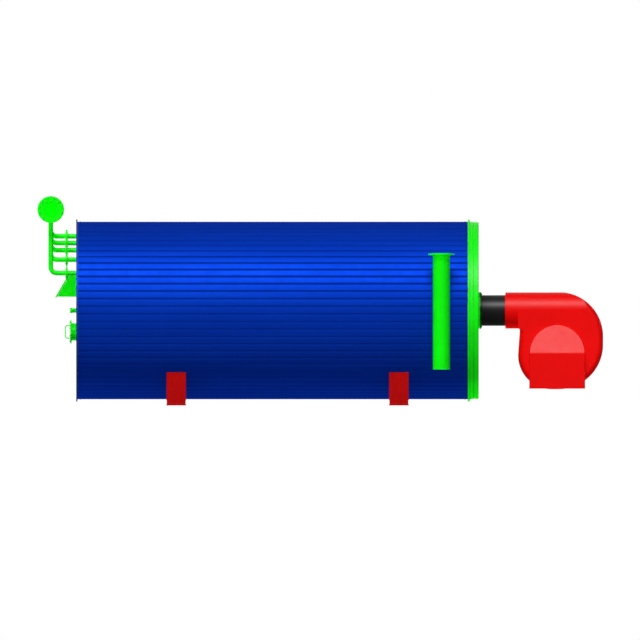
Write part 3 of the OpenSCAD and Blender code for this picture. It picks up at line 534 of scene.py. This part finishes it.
# Edges of the fibre gaskets: at both ends of the casing, behind the door's frame, and in the door's groove.
# These dark strips are real gasket and also painted shade: they darken the joints the way the joints' own
# shade would.
GASKET_DEPTH, END_GASKET_T, DOOR_GASKET_T = 12.0, 6.0, 4.0
PROUD_R, SUNK_R = CASING_R + 1.5, CASING_R - 6.0
gaskets_with_joint_shade = bmesh.new()
for x, edge_r, thick in (
    (REAR_X, PROUD_R, END_GASKET_T), (FRONT_X - END_GASKET_T, PROUD_R, END_GASKET_T),
    (FRAME_X, PROUD_R, DOOR_GASKET_T),
    (DOOR_GROOVE_X + (DOOR_GROOVE - DOOR_GASKET_T) / 2, SUNK_R, DOOR_GASKET_T),
):
    low = edge_r - GASKET_DEPTH
    outline = rounded([(low, 0, 0), (edge_r, 0, 1), (edge_r, thick, 1), (low, thick, 0)], steps=3)
    lathe(gaskets_with_joint_shade, outline, facing((x, 0, AXIS_Z), (1, 0, 0)), steps=240)
finish_piece(gaskets_with_joint_shade, "fibre_gaskets_and_painted_joint_shade", "gasket_sheet")

# Burner

SCROLL_RIM, TONGUE, ARC_STEPS = 75.0, 24.0, 24


def scroll_loop(y):
    """Outline of the fan scroll at a distance across its middle plane.

    It has three arcs and a tongue, is drawn in at the rim, and is cut by the round top.
    """
    over_rim = max(0.0, abs(y) - (NECK_R - SCROLL_RIM))
    draw = SCROLL_RIM - math.sqrt(max(0.0, SCROLL_RIM ** 2 - over_rim ** 2))
    top = AXIS_Z - FAN_Z + math.sqrt(max(0.0, NECK_R ** 2 - y ** 2))
    right, left = SCROLL_FRONT - draw, SCROLL_BACK - draw
    bottom = SCROLL_DEPTH - draw
    upper, lower, heel = SCROLL_UPPER_R - draw, SCROLL_LOWER_R - draw, SCROLL_HEEL_R - draw
    centre = (SCROLL_FRONT - SCROLL_UPPER_R, SCROLL_TOP - SCROLL_UPPER_R)
    reach = math.asin((top - centre[1]) / upper)
    neck_low = AXIS_Z - FAN_Z - NECK_R
    points = [(-SCROLL_BACK, top)]
    for k in range(ARC_STEPS + 1):
        a = reach * (1 - k / ARC_STEPS)
        points.append((centre[0] + upper * math.cos(a), centre[1] + upper * math.sin(a)))
    # The left side leans: it touches the heel's arc at its full reach, and ends at the tongue
    lean = TONGUE / (neck_low - SCROLL_HEEL_R + SCROLL_DEPTH)
    points += rounded([
        (right, 0.0, 0.0), (right, -bottom, lower), (-left - lean * heel, -bottom, heel),
        (-left + TONGUE, neck_low, TONGUE + draw - 0.5), (-SCROLL_BACK, neck_low, 0.0)
    ], steps=ARC_STEPS)[1:]
    return [(FAN_X + px, y, FAN_Z + pz) for px, pz in points]


def apply_modifiers(piece):
    """Gives a piece the mesh that its modifiers make of it."""
    piece.data = bpy.data.meshes.new_from_object(piece.evaluated_get(bpy.context.evaluated_depsgraph_get()))
    piece.modifiers.clear()


def carve(piece, cutter, crease=40.0):
    """Cuts a shape out of a piece."""
    bmesh.ops.recalc_face_normals(cutter, faces=cutter.faces)
    bmesh.ops.scale(cutter, vec=(MM, MM, MM), verts=cutter.verts)
    mesh = bpy.data.meshes.new("cutter")
    cutter.to_mesh(mesh)
    cutter.free()
    tool = bpy.data.objects.new("cutter", mesh)
    bpy.context.scene.collection.objects.link(tool)
    cut = piece.modifiers.new("cut", "BOOLEAN")
    cut.object = tool
    cut.solver = "EXACT"
    apply_modifiers(piece)
    piece.data.set_sharp_from_angle(angle=math.radians(crease))
    bpy.data.objects.remove(tool)


def even_flats(piece):
    """Lets the wide flat faces set the shading, so that they stay even up to a rounded edge."""
    piece.modifiers.new("weigh", "WEIGHTED_NORMAL").keep_sharp = True
    apply_modifiers(piece)


def eye_cutter(depth):
    """Round bar through the fan's eye, from just outside the scroll to a depth inside it."""
    ends = [facing((FAN_X, y, FAN_Z), (0, 1, 0)) for y in (-NECK_R - 12, depth - NECK_R)]
    bar = bmesh.new()
    skin(bar, [circle(end, FAN_EYE_R, 72) for end in ends])
    return bar


# The scroll's sections lie close together near its rims, where it bends most
HALF_SECTIONS, EYE_DEPTH = 18, 300.0
scroll = bmesh.new()
skin(scroll, [
    scroll_loop(NECK_R * math.sin(math.pi / 2 * k / HALF_SECTIONS))
    for k in range(-HALF_SECTIONS, HALF_SECTIONS + 1)
])
shell = finish_piece(scroll, "fan_scroll_shell", "red_enamel", instead_of=("fan_scroll",), crease=40)
carve(shell, eye_cutter(EYE_DEPTH))
# Joint between the rolled top sheet and the flat side sheets
SEAM_W, SEAM_DEPTH, SEAM_LEAD = 7.0, 6.0, 9.0
for side in (-1, 1):
    seam_cutter = bmesh.new()
    y0, y1 = side * (NECK_R - SEAM_DEPTH), side * (NECK_R + SEAM_DEPTH)
    z0, z1 = AXIS_Z - SEAM_W / 2, AXIS_Z + SEAM_W / 2
    skin(seam_cutter, [
        [(x, y0, z0), (x, y1, z0), (x, y1, z1), (x, y0, z1)]
        for x in (SCROLL_X - SEAM_LEAD, FAN_X + SCROLL_FRONT)])
    carve(shell, seam_cutter)
even_flats(shell)

# Bends of the hood's sheet: its upright corners, and the fold between its flat and its sloping face
HOOD_FOLD, HOOD_CREASE_R = 12.0, 60.0
HOOD_SLOPE = (HOOD_DEPTH - HOOD_SHOULDER) / HOOD_R


def hood_loop(z, inset):
    """Level section of the intake hood: a box with rounded front corners, set in by the wall."""
    rise = max(0.0, z - HOOD_Z)
    radius = HOOD_R - inset
    # At the very top the section stays 1 mm wide
    half = math.sqrt(max(0.25, radius ** 2 - rise ** 2))
    turn = math.atan(HOOD_SLOPE)
    lean = inset / math.cos(turn)
    # The fold is an arc that the flat front and the sloping face both touch
    run = HOOD_CREASE_R * math.tan(turn / 2)
    along = z - HOOD_Z
    if along < -run:
        front = HOOD_DEPTH
    elif along < run * math.cos(turn):
        front = HOOD_DEPTH - HOOD_CREASE_R + math.sqrt(HOOD_CREASE_R ** 2 - (along + run) ** 2)
    else:
        front = HOOD_DEPTH - HOOD_SLOPE * along
    front -= lean
    bend = min(HOOD_FOLD - inset, 0.9 * half)
    corners = [(-half, -inset, 0.0), (half, -inset, 0.0), (half, -front, bend), (-half, -front, bend)]
    return [(FAN_X + px, -NECK_R + py, z) for px, py in rounded(corners, steps=4)]


# The levels lie close together round the fold, and then follow the round top
hood_levels = [HOOD_Z - HOOD_SKIRT] + [HOOD_Z - 16 + 4 * k for k in range(8)]
hood_levels += [HOOD_Z + HOOD_R * math.sin(math.radians(a)) for a in range(3, 91, 3)]
hood = bmesh.new()
outside = [hood_loop(z, 0.0) for z in hood_levels]
inside = [hood_loop(min(z, HOOD_Z + HOOD_R - HOOD_WALL), HOOD_WALL) for z in hood_levels]
skin(hood, outside + inside[::-1], wrap=True)
hood_piece = finish_piece(hood, "intake_hood_sheet", "red_enamel", instead_of=("intake_hood",), crease=30)
carve(hood_piece, eye_cutter(HOOD_WALL), crease=30)
even_flats(hood_piece)

BURNER_FACE_X = BURNER_FLANGE_X + BURNER_FLANGE_T
NECK_WELD, FLANGE_WELD = 5.0, 6.0
burner_welds = bmesh.new()
ring_bead(burner_welds, facing((NECK_X, 0, AXIS_Z), (1, 0, 0)), BLAST_R, NECK_WELD)
finish_piece(burner_welds, "burner_neck_weld", "red_enamel")
flange_weld = bmesh.new()
ring_bead(flange_weld, facing((BURNER_FACE_X, 0, AXIS_Z), (1, 0, 0)), BLAST_R, FLANGE_WELD)
finish_piece(flange_weld, "burner_flange_weld", "black_heat_paint")


def bolt_ring(bm, centre, axis, radius, count, size):
    """Ring of bolt heads on a flange."""
    place = facing(centre, axis)
    for k in range(count):
        a = 2 * math.pi * (k + 0.5) / count
        bolt_head(bm, place @ Matrix.Translation((radius * math.cos(a), radius * math.sin(a), 0)), size)


PLATE_BOLT = 12.0
BURNER_BOLT_R, MOTOR_BOLT_R, COVER_BOLT_R = 214.0, 160.0, 128.5
burner_bolts = bmesh.new()
bolt_ring(burner_bolts, (BURNER_FACE_X, 0, AXIS_Z), (1, 0, 0), BURNER_BOLT_R, 12, PLATE_BOLT)
finish_piece(burner_bolts, "burner_flange_bolts", "black_heat_paint")
motor_bolts = bmesh.new()
bolt_ring(motor_bolts, (FAN_X, MOTOR_Y, FAN_Z), (0, 1, 0), MOTOR_BOLT_R, 8, PLATE_BOLT)
finish_piece(motor_bolts, "motor_flange_bolts", "red_enamel")

# Fan motor: wire guard in the cowl's end, lid and cable gland of the terminal box
WIRE, GUARD_STEP, GUARD_RINGS, SPOKES = 2.5, 12, 9, 6
SPOKE_FROM, SPOKE_LEN = 20.0, 104.0
guard = bmesh.new()
cowl_end = facing((FAN_X, MOTOR_Y + MOTOR_LEN + COWL_LEN, FAN_Z), (0, 1, 0))
for ring in range(GUARD_RINGS):
    radius = GUARD_STEP * (ring + 2)
    section = [(radius + WIRE * math.cos(a), WIRE * math.sin(a)) for a in BEAD_TURNS]
    lathe(guard, section, cowl_end, steps=64)
for k in range(SPOKES):
    a = 2 * math.pi * k / SPOKES
    ray = Vector((math.cos(a), math.sin(a), 0))
    spoke = facing(cowl_end @ (ray * SPOKE_FROM), cowl_end.to_3x3() @ ray)
    skin(guard, [circle(lifted(spoke, h), WIRE, 8) for h in (0.0, SPOKE_LEN)])
finish_piece(guard, "motor_cowl_guard", "black_heat_paint")

LID_T, LID_LIP, LID_CORNER_R, LID_BEVEL, LID_SCREW_IN = 7.0, 4.0, 12.0, 2.0, 14.0
LID_HALF_X, LID_HALF_Y = TERMINAL_W / 2 + LID_LIP, TERMINAL_LEN / 2 + LID_LIP
LID_TOP = TERMINAL_TOP + LID_T


def lid_loop(inset, z):
    """Level section of the terminal box's lid, set in from its edge."""
    corners = [(sx * (LID_HALF_X - inset), sy * (LID_HALF_Y - inset), LID_CORNER_R)
               for sx, sy in ((-1, -1), (1, -1), (1, 1), (-1, 1))]
    return [(FAN_X + px, TERMINAL_Y + py, z) for px, py in rounded(corners)]


lid = bmesh.new()
skin(lid, [lid_loop(0.0, TERMINAL_TOP), lid_loop(0.0, LID_TOP - LID_BEVEL), lid_loop(LID_BEVEL, LID_TOP)])
for sx in (-1, 1):
    for sy in (-1, 1):
        x = FAN_X + sx * (LID_HALF_X - LID_SCREW_IN)
        y = TERMINAL_Y + sy * (LID_HALF_Y - LID_SCREW_IN)
        bolt_head(lid, facing((x, y, LID_TOP), (0, 0, 1)), SCREW)
finish_piece(lid, "terminal_box_lid", "black_heat_paint")

# Cable gland: a six-sided foot with a round cap nut on it, open where a cable would go in
GLAND_DROP, GLAND_FLATS, GLAND_FOOT, GLAND_HOLE_R = 32.0, 36.0, 9.0, 9.0
GLAND_CAP = [(15.0, 0.0), (15.0, 12.0), (18.0, 13.0), (18.0, 22.0), (14.0, 29.0)]
gland = bmesh.new()
gland_place = facing((FAN_X + TERMINAL_W / 2, TERMINAL_Y, TERMINAL_TOP - GLAND_DROP), (1, 0, 0))
hex_head(gland, gland_place, GLAND_FLATS, GLAND_FOOT)
hole = [(GLAND_HOLE_R, GLAND_CAP[0][1]), (GLAND_HOLE_R, GLAND_CAP[-1][1])]
lathe(gland, hole[:1] + GLAND_CAP + hole[1:], gland_place, steps=24)
finish_piece(gland, "cable_gland", "black_heat_paint")

# Welds of the rear pipework
TUBE_WELD, BUTT_WELD, HEADER_WELD = 5.0, 3.2, 7.0
rear_welds = bmesh.new()
for y, z in TUBE_PLACES:
    saddle_bead(rear_welds, (HEADER_X, y, HEADER_Z), (0, 0, -1), (1, 0, 0), (0, 1, 0), TUBE_WELD)
    ring_bead(rear_welds, facing((HEADER_X, y, z + ELBOW_R), (0, 0, 1)), TUBE_R, BUTT_WELD)
    ring_bead(rear_welds, facing((HEADER_X + ELBOW_R, y, z), (1, 0, 0)), TUBE_R, BUTT_WELD)
    for x in (JOINT_X - GASKET_T - TUBE_FLANGE_T, JOINT_X + TUBE_FLANGE_T, REAR_FACE):
        ring_bead(rear_welds, facing((x, y, z), (1, 0, 0)), TUBE_R, TUBE_WELD)
for y, weld in ((HEADER_FACE_Y + FLANGE_T, HEADER_WELD), (HEADER_CAP_Y, BUTT_WELD)):
    ring_bead(rear_welds, facing((HEADER_X, y, HEADER_Z), (0, 1, 0)), HEADER_R, weld)
finish_piece(rear_welds, "rear_pipework_welds", "green_enamel")

# Studs that stand ready in the rear header's flange, with their nuts run on from both sides
HEADER_STUD = 20.0
header_studs = bmesh.new()
for k in range(FLANGE_HOLES):
    a = 2 * math.pi * (k + 0.5) / FLANGE_HOLES
    x, z = HEADER_X + FLANGE_PCD_R * math.cos(a), HEADER_Z + FLANGE_PCD_R * math.sin(a)
    for y, out in ((HEADER_FACE_Y + FLANGE_T, 1), (HEADER_FACE_Y + RAISED_FACE, -1)):
        stud_nut(header_studs, facing((x, y, z), (0, out, 0)), HEADER_STUD)
finish_piece(header_studs, "rear_header_studs", "green_enamel")

# Bolts of the tube flanges, without washers
TUBE_BOLT, TUBE_BOLT_R, TUBE_BOLTS = 12.0, 62.5, 4
tube_bolts = bmesh.new()
for y, z in TUBE_PLACES:
    for x, axis in ((JOINT_X - GASKET_T - TUBE_FLANGE_T, -1), (JOINT_X + TUBE_FLANGE_T, 1)):
        for k in range(TUBE_BOLTS):
            a = 2 * math.pi * (k + 0.5) / TUBE_BOLTS
            at = (x, y + TUBE_BOLT_R * math.cos(a), z + TUBE_BOLT_R * math.sin(a))
            hex_head(tube_bolts, facing(at, (axis, 0, 0)), 1.5 * TUBE_BOLT, 0.55 * TUBE_BOLT)
finish_piece(tube_bolts, "tube_flange_bolts", "green_enamel")

# Welds and bolts of the fittings on the rear end plate
fitting_welds = bmesh.new()
ring_bead(fitting_welds, facing((REAR_FACE, 0, AXIS_Z), (1, 0, 0)), SIGHT_R, TUBE_WELD)
ring_bead(fitting_welds, facing((REAR_FACE, 0, PORT_Z), (1, 0, 0)), PORT_R, HEADER_WELD)
ring_bead(fitting_welds, facing((COVER_X + PORT_FLANGE_T, 0, PORT_Z), (1, 0, 0)), PORT_R, TUBE_WELD)
for side in (-1, 1):
    foot = facing((COVER_X - COVER_T, 0, PORT_Z + side * HANDLE_HALF), (1, 0, 0))
    ring_bead(fitting_welds, foot, HANDLE_R, BUTT_WELD)
    y = side * DUCT_W / 2
    line_bead(fitting_welds, (REAR_FACE, y, DUCT_FLOOR_Z), (REAR_FACE, y, DUCT_ROOF_Z), TUBE_WELD, (-1, 0, 0))
for z in (DUCT_FLOOR_Z, DUCT_ROOF_Z):
    line_bead(fitting_welds, (REAR_FACE, -DUCT_W / 2, z), (REAR_FACE, DUCT_W / 2, z), TUBE_WELD, (-1, 0, 0))
finish_piece(fitting_welds, "rear_fitting_welds", "green_enamel")
cover_bolts = bmesh.new()
bolt_ring(cover_bolts, (COVER_X - COVER_T, 0, PORT_Z), (-1, 0, 0), COVER_BOLT_R, 8, PLATE_BOLT)
finish_piece(cover_bolts, "inspection_cover_bolts", "green_enamel")

# Relief duct: stiffening strip along the foot of each side, rope seal in the mouth, washers on the pin
STRIP_H, STRIP_UP, STRIP_T, STRIP_BEVEL, STRIP_FROM_LIP = 25.0, 5.0, 4.0, 1.5, 6.0
duct_strips = bmesh.new()
for side in (-1, 1):
    y = side * DUCT_W / 2
    low, high = DUCT_FLOOR_Z + STRIP_UP, DUCT_FLOOR_Z + STRIP_UP + STRIP_H
    lip = [MOUTH_X - (DUCT_ROOF_Z - z) * math.tan(MOUTH_SLOPE) + STRIP_FROM_LIP for z in (low, high)]
    ends = [(lip[0], low), (REAR_FACE, low), (REAR_FACE, high), (lip[1], high)]
    skin(duct_strips, [
        [(x, y, z) for x, z in ends],
        [(x, y + side * STRIP_T * 0.6, z) for x, z in ends],
        [(x, y + side * STRIP_T, z + (STRIP_BEVEL if z == low else -STRIP_BEVEL)) for x, z in ends]])
finish_piece(duct_strips, "relief_duct_strips", "green_enamel")

ROPE_R, ROPE_INSET, ROPE_BEND = 2.3, 4.0, 14.0
rope_half = DUCT_W / 2 - ROPE_INSET
mouth_len = (DUCT_ROOF_Z - DUCT_FLOOR_Z) / math.cos(MOUTH_SLOPE)
down = Vector((-math.sin(MOUTH_SLOPE), 0, -math.cos(MOUTH_SLOPE)))
off = Vector((-math.cos(MOUTH_SLOPE), 0, math.sin(MOUTH_SLOPE)))
rope_ends = (ROPE_INSET, mouth_len - ROPE_INSET)
rope_path = rounded([
    (-rope_half, rope_ends[0], ROPE_BEND), (rope_half, rope_ends[0], ROPE_BEND),
    (rope_half, rope_ends[1], ROPE_BEND), (-rope_half, rope_ends[1], ROPE_BEND)], steps=6)
top_edge = Vector((MOUTH_X, 0, DUCT_ROOF_Z)) + off * FLAP_GAP / 2
rope = bmesh.new()
bead(rope, [top_edge + down * v + Vector((0, u, 0)) for u, v in rope_path], ROPE_R)
finish_piece(rope, "relief_rope_seal", "gasket_sheet", material=GLASS_ROPE)

PIN_WASHER = [(PIN_R + 0.2, 0), (16.0, 0), (16.0, 2.2), (15.2, 3.0), (PIN_R + 0.2, 3.0)]
pin_washers = bmesh.new()
for side in (-1, 1):
    lathe(pin_washers, PIN_WASHER, facing((PIN_X, side * (PIN_HALF - PIN_R), PIN_Z), (0, side, 0)), steps=28)
finish_piece(pin_washers, "hinge_pin_washers", "zinc_steel")

# Welds of the upright header
side_welds = bmesh.new()
for z in STUB_HEIGHTS:
    saddle_bead(side_welds, (SIDE_X, SIDE_Y, z), (0, 1, 0), (1, 0, 0), (0, 0, 1), TUBE_WELD)
ring_bead(side_welds, facing((SIDE_X, SIDE_Y, SIDE_TOP_Z - FLANGE_T), (0, 0, 1)), HEADER_R, HEADER_WELD)
ring_bead(side_welds, facing((SIDE_X, SIDE_Y, SIDE_BOTTOM_Z + SIDE_END_T), (0, 0, 1)), HEADER_R, BUTT_WELD)
finish_piece(side_welds, "side_header_welds", "green_enamel")

# Welds of the saddles: web and ribs on the base plate, and the web under the bearing plate
SADDLE_WELD, SADDLE_TURN, BEARING_STEPS = 6.0, 45.0, 300
bearing_turns = [math.radians(SADDLE_TURN * (2 * k / BEARING_STEPS - 1)) for k in range(BEARING_STEPS + 1)]
saddle_welds = bmesh.new()
rib_step = (SADDLE_HALF - SADDLE_PLATE_T / 2) / 2
for x in SADDLE_XS:
    for side in (-1, 1):
        face = x + side * SADDLE_PLATE_T / 2
        line_bead(saddle_welds, (face, -SADDLE_HALF, BASE_T), (face, SADDLE_HALF, BASE_T),
                  SADDLE_WELD, (side, 0, 0))
        arc = [Vector((face, BEARING_R * math.sin(a), AXIS_Z - BEARING_R * math.cos(a)))
               for a in bearing_turns]
        bead(saddle_welds, arc, SADDLE_WELD, (side, 0, 0), closed=False)
        for rib in range(-2, 3):
            for flank in (-1, 1):
                y = rib * rib_step + flank * SADDLE_PLATE_T / 2
                line_bead(saddle_welds, (face, y, BASE_T), (x + side * SADDLE_RIB_W / 2, y, BASE_T),
                          SADDLE_WELD, (0, flank, 0))
finish_piece(saddle_welds, "saddle_welds", "saddle_paint")

# Lights, floor and camera

world = bpy.data.worlds.new("studio")
bpy.context.scene.world = world
world.use_nodes = True
sky = world.node_tree
sky.nodes.clear()
# The sky is white to the eye, to gloss and through glass, and lights the object only faintly
ray = put(sky, "ShaderNodeLightPath").outputs
seen = ray["Is Camera Ray"]
for kind in ("Is Glossy Ray", "Is Transmission Ray"):
    seen = put(sky, "ShaderNodeMath", {0: seen, 1: ray[kind]}, operation="MAXIMUM").outputs["Value"]
glow = put(sky, "ShaderNodeMapRange", {"Value": seen, "To Min": 0.06, "To Max": 1.0}).outputs["Result"]
background = put(sky, "ShaderNodeBackground", {"Color": (1, 1, 1, 1), "Strength": glow})
put(sky, "ShaderNodeOutputWorld", {"Surface": background.outputs["Background"]})

# Far lamps: degrees to the left of the view, degrees up, strength, spread in degrees, and what they
# light. The shine shows only as the gleam on curved paint, the back lamps light the far side, and the one
# under the floor lights the lowest strips.
LAMPS = {
    "key": (8, 47, 1.35, 20, "matt"),
    "open_key": (28, 47, 1.5, 20, "matt"),
    "fill": (0, 0, 0.88, 2, "matt"),
    "side": (62, 15, 0.35, 20, "matt"),
    "shine": (0, 48, 15.5, 22, "gloss"),
    "back_left": (152, 8, 1.2, 20, "matt"),
    "back_right": (-152, 8, 0.6, 20, "matt"),
    "under": (180, -48, 4.2, 20, "matt"),
}
# Only the casing stops these two: the pipes shade each other half as much, and the floor lets light come up
OPEN_LAMPS = ("open_key", "under")
casing_only = bpy.data.collections.new("casing_only")
for piece in casing_sheets:
    casing_only.objects.link(piece)
for name, (left, rise, strength, spread, lit) in LAMPS.items():
    lamp = bpy.data.lights.new(name, "SUN")
    lamp.energy = strength
    lamp.angle = math.radians(spread)
    holder = bpy.data.objects.new(name, lamp)
    turned = Matrix.Rotation(math.radians(-left), 3, "Z") @ Matrix.Rotation(math.radians(-rise), 3, "X")
    holder.rotation_mode = "QUATERNION"
    holder.rotation_quaternion = (turned @ Vector((0, 1, 0))).to_track_quat("-Z", "Y")
    holder.visible_diffuse = lit == "matt"
    holder.visible_glossy = lit == "gloss"
    if name in OPEN_LAMPS:
        holder.light_linking.blocker_collection = casing_only
    bpy.context.scene.collection.objects.link(holder)

FLOOR_HALF = 40.0
floor = bmesh.new()
bmesh.ops.create_grid(floor, x_segments=2, y_segments=2, size=FLOOR_HALF)
floor_mesh = bpy.data.meshes.new("floor")
floor.to_mesh(floor_mesh)
floor.free()
floor_piece = bpy.data.objects.new("floor", floor_mesh)
# The floor is pale to the eye and to gloss, and throws little light back up on the object
pale, tree = blank("pale_floor")
ray = put(tree, "ShaderNodeLightPath").outputs
shade = put(tree, "ShaderNodeMix", {
    "Factor": ray["Is Diffuse Ray"], "A": linear("#d2d2d0"), "B": linear("#7a7a78")},
    data_type="RGBA").outputs["Result"]
matt = put(tree, "ShaderNodeBsdfPrincipled", {"Base Color": shade, "Roughness": 0.9})
put(tree, "ShaderNodeOutputMaterial", {"Surface": matt.outputs["BSDF"]})
floor_mesh.materials.append(pale)
bpy.context.scene.collection.objects.link(floor_piece)

# The photo's view: square on, with no perspective. Width and place are in metres.
VIEW_WIDTH, VIEW_PLACE = 8.147, (0.413, -20.0, 1.088)
lens = bpy.data.cameras.new("view")
lens.type = "ORTHO"
lens.ortho_scale = VIEW_WIDTH
lens.clip_end = 100.0
camera = bpy.data.objects.new("view", lens)
camera.location = VIEW_PLACE
camera.rotation_euler = (math.pi / 2, 0, 0)
bpy.context.scene.collection.objects.link(camera)
bpy.context.scene.camera = camera
bpy.context.scene.view_settings.view_transform = "Standard"
